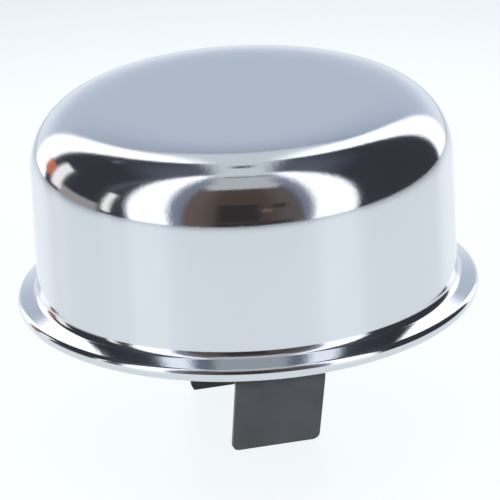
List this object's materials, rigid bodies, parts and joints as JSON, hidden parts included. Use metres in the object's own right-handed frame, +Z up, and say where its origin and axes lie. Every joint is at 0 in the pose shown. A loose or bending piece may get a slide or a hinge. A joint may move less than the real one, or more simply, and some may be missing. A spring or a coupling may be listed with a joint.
{
  "type": "crankcase breather filter",
  "caption": "Push-in crankcase breather cap: a chromed round drawn cap on a hemmed flange, with a mesh filter element inside and a bowed spring clip below.",
  "frame": {"origin": "on the cap's axis, at the level of the spring clip's tips", "axes": "+Z up the cap's axis towards the crown, +X along the width of the clip, the clip's legs at -Y and +Y"},
  "size_m": [0.0825, 0.0824, 0.0605],
  "materials": {
    "chrome_shell": "bright chrome plate on drawn steel",
    "plated_steel": "zinc-plated pressed steel, satin",
    "spring_steel": "blackened spring steel, satin",
    "rivet_steel": "bright zinc plate",
    "gasket_cork": "matt cork and rubber",
    "wire_mesh": "crimped knitted steel wire, oiled"
  },
  "bodies": {
    "root": {"cap_shell": "chrome_shell", "base_plate": "plated_steel", "tube_gasket": "gasket_cork", "spring_clip": "spring_steel", "clip_washer": "rivet_steel", "clip_rivet": "rivet_steel", "baffle_spacer": "plated_steel", "splash_baffle": "plated_steel", "core_tube": "plated_steel", "filter_roll": "wire_mesh", "end_cap": "plated_steel"}
  },
  "joints": []
}
